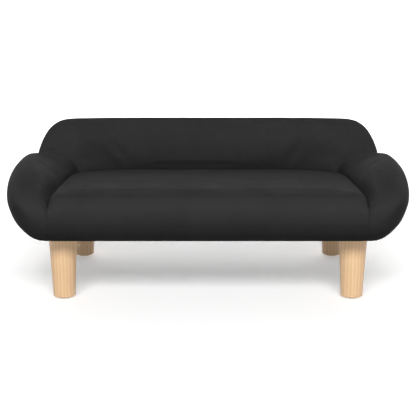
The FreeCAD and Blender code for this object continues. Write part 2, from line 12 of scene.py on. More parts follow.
import bmesh
import bpy
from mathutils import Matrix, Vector


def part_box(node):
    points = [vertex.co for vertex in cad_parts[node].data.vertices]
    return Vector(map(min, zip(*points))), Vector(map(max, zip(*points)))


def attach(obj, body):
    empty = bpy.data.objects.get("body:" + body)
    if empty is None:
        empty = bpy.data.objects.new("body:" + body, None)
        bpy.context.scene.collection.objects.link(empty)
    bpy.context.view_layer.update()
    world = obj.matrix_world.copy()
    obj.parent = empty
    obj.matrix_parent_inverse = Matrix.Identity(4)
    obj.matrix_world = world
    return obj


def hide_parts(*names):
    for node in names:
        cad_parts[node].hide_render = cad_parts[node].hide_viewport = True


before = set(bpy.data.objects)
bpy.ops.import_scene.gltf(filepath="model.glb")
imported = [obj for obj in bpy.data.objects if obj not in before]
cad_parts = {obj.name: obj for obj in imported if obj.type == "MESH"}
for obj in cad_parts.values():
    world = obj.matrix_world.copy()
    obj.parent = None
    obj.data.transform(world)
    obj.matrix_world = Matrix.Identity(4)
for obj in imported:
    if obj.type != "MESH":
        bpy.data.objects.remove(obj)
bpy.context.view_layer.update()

# %% [markdown]
# ## Sizes to work from
# Every place below is worked out from the frame's own boxes, so the upholstery fits wherever the frame is.
# Lengths that belong to the upholstery alone, such as the radius of the seat's front roll, are named here in
# millimetres and turned into metres once.

# %% Read the frame's sizes
MM = 0.001

seat_low, seat_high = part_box("seat_cover")
back_low, back_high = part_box("back_cover")
arm_low, arm_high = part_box("arm_cover_right")
deck_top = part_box("seat_deck")[1].z
frame_left, frame_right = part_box("left_rail")[0].x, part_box("right_rail")[1].x
frame_front, frame_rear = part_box("front_rail")[0].y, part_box("rear_rail")[1].y

UNDERSIDE = seat_low.z
SEAT_SIDE = seat_high.x
SEAT_FRONT = seat_low.y
SEAT_REAR = seat_high.y
SEAT_CORNER = 105 * MM  # radius of the seat's rear corners, seen from above
NOSE = 44 * MM  # radius of the front edge, above
BELLY = 33 * MM  # radius of the front edge, below
EDGE_ROLL = 14 * MM  # how the seat's top turns down where it meets the arms and the back
SWELL_ROOM = 1.5 * MM  # left above the seat for the fabric to swell into
SEAT_FALL = 13 * MM  # from the brow down to the back
BROW = seat_high.z - SWELL_ROOM  # height of the seat's top at its front
GAP = 0.4 * MM  # between soft parts that lie against each other
print("seat", round(2 * SEAT_SIDE, 3), "wide,", round(SEAT_REAR - SEAT_FRONT, 3), "deep")

# %% [markdown]
# ## How a soft form is made
# A padded arm or back is a block of foam, cut to a section and rounded at its ends. A loft copies that: a
# circle of vertices is made for each section, moved onto the section's outline, and bridged to the next one.
# Boxes with bevels would be quicker, but their roundness is the same everywhere, and an arm's is not.

# %% Loft a closed body
def ring(form, outline):
    """A closed loop of edges along the outline's points, made from a circle."""
    made = bmesh.ops.create_circle(form, segments=len(outline), radius=1.0)
    for vert, point in zip(made["verts"], outline):
        vert.co = point
    return list({edge for vert in made["verts"] for edge in vert.link_edges})


def loft(name, outlines):
    """A closed body through outlines that all have as many points."""
    form = bmesh.new()
    loops = [ring(form, outline) for outline in outlines]
    for near, far in zip(loops, loops[1:]):
        bmesh.ops.bridge_loops(form, edges=near + far)
    for end in (loops[0], loops[-1]):
        bmesh.ops.edgeloop_fill(form, edges=end)
    bmesh.ops.recalc_face_normals(form, faces=form.faces)
    return piece_from(form, name)


def piece_from(form, name):
    """An object at the origin that holds the bmesh."""
    mesh = bpy.data.meshes.new(name)
    form.to_mesh(mesh)
    form.free()
    piece = bpy.data.objects.new(name, mesh)
    bpy.context.scene.collection.objects.link(piece)
    return piece


# %% [markdown]
# ## Smooth changes
# Padding never changes its shape in steps. Two small functions serve every soft part: one blends between two
# values without a corner, and the other follows a rounded square, the outline that a stuffed section takes.

# %% Blend between two values
def smooth_step(value, low, high):
    """0 below low, 1 above high, and a smooth turn between them."""
    share = min(1.0, max(0.0, (value - low) / (high - low)))
    return share * share * (3 - 2 * share)


def squarish(share, squareness):
    """How far out a squarish ellipse still reaches at this share of its other radius."""
    share = min(1.0, max(0.0, share))
    return (1 - share**squareness) ** (1 / squareness)


# %% [markdown]
# ## Turning foam into upholstery
# Fabric pulled over foam has no corners: it is held along its seams and tacks, and swells between them. The
# loft is remeshed into even squares, taken in a little, held where the fabric is tacked or hidden, and blown
# up by a cloth simulation with air pressure inside. A cap keeps each point near the foam's own surface, and a
# little smoothing and one subdivision give a soft skin. Sculpting by hand could look the same, but would not
# answer to the shape.

# %% Apply what modifiers make
def apply_modifiers(piece):
    """Puts the result of the piece's modifiers into its mesh."""
    depsgraph = bpy.context.evaluated_depsgraph_get()
    result = bpy.data.meshes.new_from_object(piece.evaluated_get(depsgraph))
    result.name = piece.name
    piece.modifiers.clear()
    piece.data = result


# %% Remesh and swell
VOXEL = 5 * MM
TAKE_IN = 2.5 * MM  # the foam starts this much smaller than the cover
TRAVEL = 4 * MM  # furthest that the cover may stand from the foam's form
PRESSURE = 4.0
BENDING = 2.0
STEPS = 20
SOFTENING = 3


def swell(piece, held, give=TRAVEL):
    """Remeshes the piece and inflates it, but moves no point further than give.

    held(point) is 1 where the fabric can't move and 0 where it is free.
    """
    remesh = piece.modifiers.new("even squares", "REMESH")
    remesh.mode, remesh.voxel_size = "VOXEL", VOXEL
    apply_modifiers(piece)
    mesh = piece.data
    home = [vert.co.copy() for vert in mesh.vertices]
    outward = [vert.normal.copy() for vert in mesh.vertices]
    weights = [held(point) for point in home]
    group = piece.vertex_groups.new(name="held")
    for vert, weight in zip(mesh.vertices, weights):
        group.add([vert.index], weight, "REPLACE")
        vert.co -= outward[vert.index] * TAKE_IN * (1 - weight)
    cloth = piece.modifiers.new("air", "CLOTH")
    cloth.settings.vertex_group_mass = group.name
    cloth.settings.use_pressure = True
    cloth.settings.uniform_pressure_force = PRESSURE
    cloth.settings.effector_weights.gravity = 0
    cloth.settings.bending_stiffness = BENDING
    cloth.collision_settings.use_collision = False
    for step in range(1, STEPS + 1):
        bpy.context.scene.frame_set(step)
    apply_modifiers(piece)
    piece.vertex_groups.clear()
    bpy.context.scene.frame_set(1)
    furthest = 0.0
    for vert, place in zip(piece.data.vertices, home):
        travel = vert.co - place
        furthest = max(furthest, travel.length)
        if travel.length > give:
            vert.co = place + travel.normalized() * give
    soften(piece, SOFTENING)
    finer = piece.modifiers.new("finer", "SUBSURF")
    finer.levels = finer.render_levels = 1
    apply_modifiers(piece)
    print(f"{piece.name}: {len(home)} points, furthest travel {furthest / MM:.1f} mm")


def soften(piece, times):
    """Evens the mesh out, as fabric evens out the foam under it."""
    form = bmesh.new()
    form.from_mesh(piece.data)
    for _ in range(times):
        bmesh.ops.smooth_vert(
            form, verts=form.verts, factor=0.5, use_axis_x=True, use_axis_y=True, use_axis_z=True
        )
    form.to_mesh(piece.data)
    form.free()


# %% [markdown]
# ## The seat
# The seat is the widest and simplest part: a bar of foam with a round front edge and a top that falls a
# little towards the back, and turns down where it meets it. Its rear corners are rounded in plan. Sections
# are taken across the bed, and near each side their top sinks, which rolls the edge. The seat is made a
# little too wide, because a clean edge is easier to cut than to model.

# %% Seat outline
SEAT_STATIONS = 41
ARC_STEPS = 8
TOP_STEPS = 16
FALL_POWER = 1.5  # above 1, so that the top leaves the brow level
SEAT_GIVE = 1.5 * MM  # a seat is pulled tighter than an arm
TACKED = 18 * MM  # the fabric is held this far up from the underside
TUCKED, FREE = 2 * MM, 14 * MM  # held nearer than the first to a neighbour, and free beyond the second


def corner_loss(past):
    """How much a rounded rear corner takes off the seat's edge, this far into the corner."""
    return SEAT_CORNER - math.sqrt(max(0.0, SEAT_CORNER**2 - max(0.0, past) ** 2))


def seat_rear(x):
    return SEAT_REAR - corner_loss(abs(x) - (SEAT_SIDE - SEAT_CORNER))


def seat_side(y):
    return SEAT_SIDE - corner_loss(y - (SEAT_REAR - SEAT_CORNER))


def front_face(z):
    """Where the seat's front face is at this height."""
    above = max(0.0, z - (BROW - NOSE))
    below = max(0.0, UNDERSIDE + BELLY - z)
    if below > 0:
        return SEAT_FRONT + BELLY - math.sqrt(max(0.0, BELLY**2 - below**2))
    return SEAT_FRONT + NOSE - math.sqrt(max(0.0, NOSE**2 - above**2))


def seat_top(y):
    """The height of the seat's top along its middle."""
    if y < SEAT_FRONT + NOSE:
        return BROW - NOSE + math.sqrt(max(0.0, NOSE**2 - (SEAT_FRONT + NOSE - y) ** 2))
    share = (y - SEAT_FRONT - NOSE) / (SEAT_REAR - SEAT_FRONT - NOSE)
    return BROW - SEAT_FALL * share**FALL_POWER


def arc(centre, radius, start, end):
    """Points along an arc in the section's plane, both ends included. Angles are in degrees."""
    turns = [math.radians(start + (end - start) * step / ARC_STEPS) for step in range(ARC_STEPS + 1)]
    return [(centre[0] + radius * math.cos(turn), centre[1] + radius * math.sin(turn)) for turn in turns]


def seat_section(x):
    """The seat's outline at x: front and belly, nose, top, rear edge and underside."""
    edge = min(EDGE_ROLL, max(0.0, abs(x) - (SEAT_SIDE - EDGE_ROLL)))
    drop = EDGE_ROLL - math.sqrt(max(0.0, EDGE_ROLL**2 - edge**2))
    rear = seat_rear(x)
    belly = arc((SEAT_FRONT + BELLY, UNDERSIDE + BELLY), BELLY, 270, 180)
    nose = arc((SEAT_FRONT + NOSE, BROW - NOSE), NOSE, 180, 90)
    first = SEAT_FRONT + NOSE
    top = [first + (rear - EDGE_ROLL - first) * step / TOP_STEPS for step in range(1, TOP_STEPS + 1)]
    high = seat_top(rear - EDGE_ROLL)
    roll = arc((rear - EDGE_ROLL, high - EDGE_ROLL), EDGE_ROLL, 90, 0)[1:]
    points = belly + nose + [(y, seat_top(y)) for y in top] + roll + [(rear, UNDERSIDE)]
    rolled = []
    for y, z in points:
        sunk = drop * smooth_step(z, BROW - NOSE * 0.6, BROW - NOSE * 0.2)
        rolled.append(Vector((x, y, z - sunk)))
    return rolled


TRIM = 8 * MM  # the seat and the arms are made this much too wide, and trimmed where they meet
seat_half = SEAT_SIDE + TRIM
seat_xs = [-seat_half * math.cos(math.pi * i / (SEAT_STATIONS - 1)) for i in range(SEAT_STATIONS)]
seat = loft("seat", [seat_section(x) for x in seat_xs])


def seat_held(point):
    """The seat is tacked under the frame and hidden at its sides and rear."""
    beside = min(SEAT_SIDE - abs(point.x), seat_rear(point.x) - point.y, seat_side(point.y) - abs(point.x))
    under = 1 - smooth_step(point.z, UNDERSIDE, UNDERSIDE + TACKED)
    return max(under, 1 - smooth_step(beside, TUCKED, FREE))


swell(seat, seat_held, SEAT_GIVE)

# %% [markdown]
# ## The arms
# Each arm is a roll that stands beside the seat. Its inner face slopes up and away from the seat like a
# shallow scoop, and its outer face is round. A ridge between them runs from the seat's side at the front to
# the arm's outside at the rear, where the inner face curls back in behind the seat. Level slices describe the
# arm best, because every level has the same simple plan, a rounded patch that shrinks upwards.

# %% Arm slices
ARM_LEVELS = 44
ARM_POINTS = 88
ARM_MIDDLE = 10 * MM  # where the arm is widest, along the bed
ARM_TOP = arm_high.z - 6 * MM
ARM_WAIST = arm_low.z + 58 * MM  # height of its widest place
CREST_LINE = SEAT_SIDE + 62 * MM
RIDGE_SWEEP = 46 * MM  # how far the ridge comes in towards the seat at the front
WAIST_FLAT = 60 * MM  # how much of the underside rounds away, across the arm
SHOULDER = UNDERSIDE + 40 * MM  # the front rises straight up to here
CREASE_GAP = 4.5 * MM  # how far the crease stands open between the arm and the seat
CREASE_DEPTH = 3 * MM  # how far the crease lies below the seat's top
CURL = 0.85  # how much of the scoop's lean the rear end gives up
TRIM_REAR = -50 * MM  # the arms are trimmed in front of here, where the seat's side is straight
TRIM_FADE = 30 * MM
OUTER_FRONT, OUTER_REAR, OUTER_REAR_TOP = 2.15, 4.5, 3.0  # how square the plan's corners are
INNER_FRONT, INNER_REAR, INNER_REAR_TOP = 4.5, 9.0, 3.5
FLUSH_SQUARENESS = 8.0  # added to the inner front corner where it lies flush with the seat's front
TIP_LOW, TIP_RISE = 0.28, 0.22  # where the front-most point lies across the arm, from the seat outwards
# How square each curve is, seen from the side or from the front. 2 is a plain ellipse.
SCOOP_ROUND, FRONT_ROUND, REAR_ROUND, OVER_ROUND, UNDER_ROUND = 1.35, 2.3, 4.0, 2.3, 2.0


def scoop(share):
    """How far the inner face leans out at this share of its height, which is nearly in step with it."""
    return 1 - squarish(share, SCOOP_ROUND)


def arm_front(z):
    """Where the front of the arm's crest is at this height."""
    if z < SHOULDER:
        return front_face(z)
    share = (z - SHOULDER) / (ARM_TOP - SHOULDER)
    return ARM_MIDDLE - (ARM_MIDDLE - SEAT_FRONT) * squarish(share, FRONT_ROUND)


def arm_rear(z):
    share = max(0.0, z - SHOULDER) / (ARM_TOP - SHOULDER)
    return ARM_MIDDLE + (arm_high.y - ARM_MIDDLE) * squarish(share, REAR_ROUND)


def arm_outside(z):
    if z > ARM_WAIST:
        share = (z - ARM_WAIST) / (ARM_TOP - ARM_WAIST)
        return CREST_LINE + (arm_high.x - CREST_LINE) * squarish(share, OVER_ROUND)
    share = (ARM_WAIST - z) / (ARM_WAIST - arm_low.z)
    return arm_high.x - WAIST_FLAT * (1 - squarish(share, UNDER_ROUND))


def arm_inside(y, z):
    """The face towards the seat: upright below the crease, then leaning out, and curling in at the rear."""
    crease = seat_top(y) - CREASE_DEPTH
    lean = scoop((z - crease) / (ARM_TOP - crease)) if z > crease else 0.0
    curl = CURL * smooth_step(y, ARM_MIDDLE + 10 * MM, arm_high.y)
    ahead = 1 - smooth_step(y, TRIM_REAR, TRIM_REAR + TRIM_FADE)
    slot = CREASE_GAP * smooth_step(z, crease - 30 * MM, crease - 8 * MM)
    slot *= smooth_step(y, SEAT_FRONT, SEAT_FRONT + 30 * MM)
    below = 34 * MM if y > SEAT_FRONT + NOSE / 2 else 12 * MM
    spare = TRIM * (1 - smooth_step(z, crease - below, crease - below + 8 * MM))
    ridge = CREST_LINE - RIDGE_SWEEP * (1 - smooth_step(y, SEAT_FRONT + 40 * MM, arm_high.y - 20 * MM))
    return seat_side(y) + GAP + (ridge - seat_side(y)) * lean * (1 - curl) + (slot - spare) * ahead


def arm_slice(z, side):
    """The arm's plan at this height."""
    front, rear, outside = arm_front(z), arm_rear(z), arm_outside(z)
    flush = 1 - smooth_step(z, UNDERSIDE + 52 * MM, UNDERSIDE + 76 * MM)
    tip = TIP_LOW + TIP_RISE * smooth_step(z, SHOULDER, ARM_TOP)
    above = smooth_step(z, ARM_WAIST, ARM_TOP)
    inner = (INNER_FRONT + FLUSH_SQUARENESS * flush, INNER_REAR + (INNER_REAR_TOP - INNER_REAR) * above)
    outer = (OUTER_FRONT, OUTER_REAR + (OUTER_REAR_TOP - OUTER_REAR) * above)
    outline = []
    for i in range(ARM_POINTS):
        angle = 2 * math.pi * i / ARM_POINTS
        across, along = math.cos(angle), math.sin(angle)
        squareness = (inner if across < 0 else outer)[0 if along < 0 else 1]
        across = math.copysign(abs(across) ** (2 / squareness), across)
        along = math.copysign(abs(along) ** (2 / squareness), along)
        y = ARM_MIDDLE + along * (rear - ARM_MIDDLE if along > 0 else ARM_MIDDLE - front)
        inside = arm_inside(y, z)
        x = inside + (outside - inside) * (tip + across * (tip if across < 0 else 1 - tip))
        if along < 0:
            beside = 1 - smooth_step(x, SEAT_SIDE, SEAT_SIDE + 50 * MM)
            y += (front_face(min(z, BROW)) - front) * -along * beside * flush
        outline.append(Vector((side * x, y, z)))
    return outline


def arm_held(point):
    """Held underneath, against the seat and against the back."""
    beside = abs(point.x) - seat_side(point.y)
    low = 1 - smooth_step(point.z, SHOULDER, SHOULDER + 50 * MM)
    hidden = (1 - smooth_step(beside, TUCKED, 12 * MM)) * low
    under = 1 - smooth_step(point.z, UNDERSIDE, UNDERSIDE + 15 * MM)
    return max(hidden, under, 1 - smooth_step(arm_high.y - point.y, TUCKED, 10 * MM))


levels = [
    arm_low.z + (ARM_TOP - 0.5 * MM - arm_low.z) * (1 - math.cos(math.pi * i / (ARM_LEVELS - 1))) / 2
    for i in range(ARM_LEVELS)
]
arms = {}
for name, side in (("left", -1), ("right", 1)):
    arms[name] = loft(f"arm_{name}", [arm_slice(z, side) for z in levels])
    swell(arms[name], arm_held)

# %% [markdown]
# ## The back
# The back is one long roll behind the seat. Its inner face rises from the crease, leans back to the crest and
# turns over; at both ends it wraps forward round the seat's corners and rounds down behind the arms. Upright
# sections across the bed follow that, and they crowd together at the ends where the shape changes fastest.

# %% Back sections
BACK_STATIONS = 71
QUARTER_STEPS = 12
BACK_END_SWEEP = 62 * MM  # how far the back's outer face comes forward at its ends
BACK_END = back_high.x + 8 * MM  # the padding stands out past the frame that it covers
BACK_STRAIGHT = 0.735  # share of its half width that keeps its full height
END_POWER = 1.9  # how late the ends begin to fall
END_CUT = 0.985  # the loft stops just short of a point
END_HEIGHT = 0.45  # the height that is left at the ends, as a share
CREST_SHARE = 0.60  # where the crest stands, from the front of the section to its rear
CREST_FORWARD = 0.28  # how far the crest comes forward at the ends, as a share of the width
CREASE_SHARE = 0.40  # the inner face starts to lean back at this share of the height
WRAP = 40 * MM  # over this length the inner face eases from the long run into the ends
WAIST_SHARE = 0.48  # height of the outer face's furthest point
FLAT_SHARE = 0.76  # the underside is flat up to here
FACE_ROUND, BACK_ROUND = 1.5, 2.4  # how square the inner and the outer curves are
BACK_SOFTENING = 6


def quarter(centre, radii, start, squareness):
    """Points along a quarter of a squarish ellipse, turning clockwise from the start angle."""
    points = []
    for step in range(QUARTER_STEPS):
        angle = math.radians(start - 90 * step / QUARTER_STEPS)
        points.append(
            [
                middle + radius * math.copysign(abs(share) ** (2 / squareness), share)
                for middle, radius, share in zip(centre, radii, (math.cos(angle), math.sin(angle)))
            ]
        )
    return points


def back_section(x):
    past = max(0.0, (abs(x) / BACK_END - BACK_STRAIGHT) / (1 - BACK_STRAIGHT)) ** END_POWER
    left = math.sqrt(max(0.0, 1 - (END_CUT * past) ** 2))
    near = max(seat_rear(x), back_low.y) + GAP
    ease = max(0.0, WRAP - abs(seat_rear(x) - back_low.y)) ** 2 / (4 * WRAP)
    wide = back_high.y - BACK_END_SWEEP * (1 - left) - near
    tall = (back_high.z - back_low.z) * (END_HEIGHT + (1 - END_HEIGHT) * left)
    crest = CREST_SHARE - CREST_FORWARD * (1 - left)
    shares = [
        *quarter((crest, CREASE_SHARE), (crest, 1 - CREASE_SHARE), 180, FACE_ROUND),
        *quarter((crest, WAIST_SHARE), (1 - crest, 1 - WAIST_SHARE), 90, BACK_ROUND),
        *quarter((FLAT_SHARE, WAIST_SHARE), (1 - FLAT_SHARE, WAIST_SHARE), 0, BACK_ROUND),
        (FLAT_SHARE, 0),
        (0, 0),
    ]
    outline = []
    for across, up in shares:
        eased = ease * smooth_step(up, CREASE_SHARE, CREASE_SHARE + 0.25) * (1 - across)
        outline.append(Vector((x, near + eased + across * wide, back_low.z + up * tall)))
    return outline


def back_held(point):
    """Held underneath, and where the seat and the arms press against it."""
    beside = point.y - max(seat_rear(point.x), back_low.y)
    low = 1 - smooth_step(point.z, SHOULDER - 25 * MM, seat_high.z - 10 * MM)
    under = 1 - smooth_step(point.z, UNDERSIDE, UNDERSIDE + 15 * MM)
    return max((1 - smooth_step(beside, TUCKED, 12 * MM)) * low, under)


back_xs = [-BACK_END * math.cos(math.pi * i / (BACK_STATIONS - 1)) for i in range(BACK_STATIONS)]
back = loft("back", [back_section(x) for x in back_xs])
swell(back, back_held)
soften(back, BACK_SOFTENING)

# %% [markdown]
# ## The seam beside the seat
# The covers of the seat and the arms press flat against each other. Both were made a little too wide, so one
# straight cut with a box leaves each with a clean edge, and the two meet in a fine seam. An upholsterer gets
# the same line by pulling both covers tight before the parts are screwed together.

# %% Trim the seat and the arms
def block(name, low, high):
    """A plain box between two corners, for cutting."""
    form = bmesh.new()
    bmesh.ops.create_cube(form, size=1.0)
    bmesh.ops.scale(form, verts=form.verts, vec=high - low)
    bmesh.ops.translate(form, verts=form.verts, vec=(low + high) / 2)
    return piece_from(form, name)


def clear_of(piece, rooms):
    """Cuts each box (low, high) out of the piece."""
    for low, high in rooms:
        cutter = block("cutter", low, high)
        cut = piece.modifiers.new("room", "BOOLEAN")
        cut.operation, cut.solver, cut.object = "DIFFERENCE", "MANIFOLD", cutter
        apply_modifiers(piece)
        bpy.data.objects.remove(cutter)


far = 1.0  # well outside the bed
for side in (-1, 1):
    near, away = sorted((side * SEAT_SIDE, side * far))
    clear_of(seat, [(Vector((near, -far, -far)), Vector((away, far, far)))])
for name, side in (("left", -1), ("right", 1)):
    near, away = sorted((0.0, side * (SEAT_SIDE + GAP)))
    clear_of(arms[name], [(Vector((near, -far, -far)), Vector((away, TRIM_REAR, seat_high.z)))])
print("trimmed the seat and the arms at", round(SEAT_SIDE / MM, 1), "mm")

# %% [markdown]
# ## Tucks and dimples
# A cover that is tied down from inside shows a small dimple with a soft hollow round it. Where the arm's
# cover is pushed into the corner behind the seat, it bulges instead. Both are pressed into the finished skin.

# %% Press them in
def press(piece, centre, radius, depth, direction):
    """Presses a round hollow into the piece, or raises a swelling where the depth is negative."""
    for vert in piece.data.vertices:
        share = (vert.co - centre).length / radius
        if share < 1:
            vert.co -= direction.normalized() * depth * (1 - share * share) ** 2


PUCKER = Vector((297 * MM, back_low.y + 20 * MM, back_low.z + 106 * MM))
TUCK = Vector((264 * MM, arm_high.y - 14 * MM, arm_low.z + 92 * MM))
ARM_TUCK_DIRECTION = (-1.0, 0.6)  # forwards and up; it also leans towards the seat
for name, side in (("left", -1), ("right", 1)):
    outward = Vector((-side * 0.3, -1.0, 0.4))
    pucker = Vector((side * PUCKER.x, PUCKER.y, PUCKER.z))
    press(back, pucker, 26 * MM, 1.5 * MM, outward)
    press(back, pucker, 8 * MM, 3.5 * MM, outward)
    tuck = Vector((side * TUCK.x, TUCK.y, TUCK.z))
    press(arms[name], tuck, 34 * MM, -3 * MM, Vector((-side, *ARM_TUCK_DIRECTION)))


# %% [markdown]
# ## Where soft parts meet
# No point may cross the line between two neighbours. Each piece's points are slid back to its own side of
# that line, the arms are kept in front of the back's ends, and nothing hangs below the covers' lower edge.

# %% Keep each part on its own side
def keep_inside_seat(piece):
    for vert in piece.data.vertices:
        vert.co.y = min(vert.co.y, seat_rear(vert.co.x))
        limit = seat_side(vert.co.y)
        vert.co.x = min(limit, max(-limit, vert.co.x))


def keep_outside_seat(piece):
    """Slides points out of the seat's plan, sideways or backwards, whichever is nearer."""
    for vert in piece.data.vertices:
        across = seat_side(vert.co.y) + GAP - abs(vert.co.x)
        behind = seat_rear(vert.co.x) + GAP - vert.co.y
        if across <= 0 or behind <= 0 or vert.co.y > SEAT_REAR:
            continue
        if across < behind:
            vert.co.x = math.copysign(seat_side(vert.co.y) + GAP, vert.co.x)
        else:
            vert.co.y = seat_rear(vert.co.x) + GAP


keep_inside_seat(seat)
for piece in (*arms.values(), back):
    keep_outside_seat(piece)
for arm in arms.values():
    for vert in arm.data.vertices:
        vert.co.y = min(vert.co.y, back_low.y - GAP)
for vert in back.data.vertices:
    vert.co.y = max(vert.co.y, back_low.y)
for piece in (seat, *arms.values(), back):
    for vert in piece.data.vertices:
        vert.co.z = max(vert.co.z, UNDERSIDE)

# %% [markdown]
# ## Room for the frame
# The foam is cut out where the timber goes, so each soft part is cleared with a boolean: one box for the base
# frame, open below, and one for each panel, post or batten that stands inside the back or an arm. The boxes
# come from the frame's nodes, a little larger all round.

# %% Cut the frame's room
def room(node):
    low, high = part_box(node)
    margin = Vector((GAP, GAP, GAP))
    return low - margin, high + margin


base_room = (
    Vector((frame_left - GAP, frame_front - GAP, UNDERSIDE - 50 * MM)),
    Vector((frame_right + GAP, frame_rear + GAP, deck_top + GAP)),
)
clear_of(seat, [base_room])
clear_of(back, [base_room, room("back_panel"), room("back_post_left"), room("back_post_right")])
for name, arm in arms.items():
    clear_of(arm, [base_room, room(f"arm_panel_{name}"), room(f"arm_batten_{name}")])

# %% Shade them smoothly
SHARP_TURN = math.radians(50)


def shade_smooth(piece):
    """Smooth shading, with a crease wherever the surface turns sharply."""
    form = bmesh.new()
    form.from_mesh(piece.data)
    for face in form.faces:
        face.smooth = True
    for edge in form.edges:
        edge.smooth = len(edge.link_faces) != 2 or edge.calc_face_angle(0.0) < SHARP_TURN
    form.to_mesh(piece.data)
    form.free()


upholstery = {"seat": seat, "back": back, **{f"arm_{name}": arm for name, arm in arms.items()}}
for piece in upholstery.values():
    shade_smooth(piece)
    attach(piece, "bed")
    print(piece.name, len(piece.data.polygons), "faces")
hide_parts("seat_cover", "seat_foam")
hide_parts("back_cover", "back_foam")
for name, arm in arms.items():
    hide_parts(f"arm_cover_{name}", f"arm_foam_{name}")

# %% [markdown]
# ## The dust cover
# Under the frame a thin cloth is stapled tight to the rails, so that dust and hair can't get in. It starts as
# a grid, is cut round the four legs, sinks a little between the rails, and gets its thickness from a
# Solidify modifier.

# %% Stretch the dust cover
cloth_low, cloth_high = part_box("dust_cover")
LEG_HOLE = 25.2 * MM
HOLE_EDGE = 8 * MM  # the cut edge is rounded off from this far outside the hole
CLOTH_SAG = 0.64 * MM
CLOTH_THICK = 0.6 * MM

form = bmesh.new()
bmesh.ops.create_grid(form, x_segments=78, y_segments=54, size=0.5)
size = cloth_high - cloth_low
bmesh.ops.scale(form, verts=form.verts, vec=(size.x, size.y, 1))
centre = (cloth_low + cloth_high) / 2
bmesh.ops.translate(form, verts=form.verts, vec=(centre.x, centre.y, cloth_high.z))
for corner in ("front_left", "front_right", "rear_left", "rear_right"):
    leg_low, leg_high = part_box(f"leg_{corner}")
    middle = (leg_low + leg_high) / 2
    inside = [vert for vert in form.verts if (vert.co.xy - middle.xy).length < LEG_HOLE]
    bmesh.ops.delete(form, geom=inside, context="VERTS")
    for vert in form.verts:
        away = vert.co.xy - middle.xy
        if away.length < LEG_HOLE + HOLE_EDGE and vert.is_boundary:
            vert.co.xy = middle.xy + away.normalized() * LEG_HOLE
for vert in form.verts:
    across = (vert.co.x - cloth_low.x) / size.x
    along = (vert.co.y - cloth_low.y) / size.y
    vert.co.z -= CLOTH_SAG * math.sqrt(math.sin(math.pi * across)) * math.sqrt(math.sin(math.pi * along))
for face in form.faces:
    face.smooth = True
dust_cover = piece_from(form, "dust_cloth")
thick = dust_cover.modifiers.new("thickness", "SOLIDIFY")
thick.thickness = CLOTH_THICK
thick.offset = -1.0
apply_modifiers(dust_cover)
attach(dust_cover, "bed")
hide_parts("dust_cover")
print("dust cloth", round(size.x, 3), "by", round(size.y, 3))

# %% [markdown]
# # Finishes
# Every finish is built from nodes, on object coordinates, so it needs no unwrapping and stays put when the
# camera moves. Effects that several finishes share are node groups that give out masks and heights: pile for
# cloth, timber for anything cut from wood, and wear for handling marks. Shaders stay in the materials.

# %% Helpers for nodes
def add(tree, kind, values=None, **settings):
    """A node of this kind, with its settings and the inputs that nothing is linked to."""
    made = tree.nodes.new(kind)
    for key, setting in settings.items():
        setattr(made, key, setting)
    for key, value in (values or {}).items():
        made.inputs[key].default_value = value
    return made


def effect(name, inputs, outputs):
    """A node group with named sockets. Returns the group, its input's outputs and its output's inputs."""
    group = bpy.data.node_groups.new(name, "ShaderNodeTree")
    for label, kind, value in inputs:
        socket = group.interface.new_socket(label, in_out="INPUT", socket_type=kind)
        if value is not None:
            socket.default_value = value
    for label, kind in outputs:
        group.interface.new_socket(label, in_out="OUTPUT", socket_type=kind)
    return group, add(group, "NodeGroupInput").outputs, add(group, "NodeGroupOutput").inputs


def math_node(tree, operation, first, second):
    """A Math node whose two inputs are sockets or numbers."""
    made = add(tree, "ShaderNodeMath", operation=operation)
    for slot, value in zip(made.inputs, (first, second)):
        if isinstance(value, (int, float)):
            slot.default_value = value
        else:
            tree.links.new(value, slot)
    return made.outputs[0]


def tint(tree, colour, by):
    """One colour multiplied by another."""
    made = add(tree, "ShaderNodeMix", data_type="RGBA", blend_type="MULTIPLY")
    made.inputs["Factor"].default_value = 1.0
    tree.links.new(colour, made.inputs["A"])
    tree.links.new(by, made.inputs["B"])
    return made.outputs["Result"]


FLOAT, VECTOR = "NodeSocketFloat", "NodeSocketVector"

# %% [markdown]
# ## Pile
# Velvet is a forest of short upright hairs. From a distance it shows broad, soft patches where the pile lies
# a little one way or the other, and close to it shows a fine tufted grain. Three scales of noise give both.

# %% The pile effect
pile, given, gives = effect(
    "pile",
    [("Place", VECTOR, None), ("Patches", FLOAT, 7.0), ("Tufts", FLOAT, 700.0)],
    [("Nap", FLOAT), ("Height", FLOAT)],
)
broad = add(pile, "ShaderNodeTexNoise", {"Detail": 4.0, "Roughness": 0.6, "Distortion": 0.4})
streak = add(pile, "ShaderNodeTexNoise", {"Scale": 60.0, "Detail": 4.0, "Roughness": 0.6})
tufts = add(pile, "ShaderNodeTexNoise", {"Detail": 2.0, "Roughness": 0.5})
for texture in (broad, streak, tufts):
    pile.links.new(given["Place"], texture.inputs["Vector"])
pile.links.new(given["Patches"], broad.inputs["Scale"])
pile.links.new(given["Tufts"], tufts.inputs["Scale"])
coarse = math_node(pile, "MULTIPLY", broad.outputs["Fac"], 0.5)
middling = math_node(pile, "MULTIPLY", streak.outputs["Fac"], 0.3)
fine = math_node(pile, "MULTIPLY", tufts.outputs["Fac"], 0.2)
pile.links.new(math_node(pile, "ADD", math_node(pile, "ADD", coarse, middling), fine), gives["Nap"])
soft = math_node(pile, "MULTIPLY", streak.outputs["Fac"], 0.5)
pile.links.new(math_node(pile, "ADD", soft, tufts.outputs["Fac"]), gives["Height"])
print("pile:", len(pile.nodes), "nodes")

# %% [markdown]
# ## Timber
# Sawn and turned wood shows its growth rings as long bands, and finer fibres and pores along them. The group
# expects the grain to run along Z, and each material turns its own coordinates so that it does.

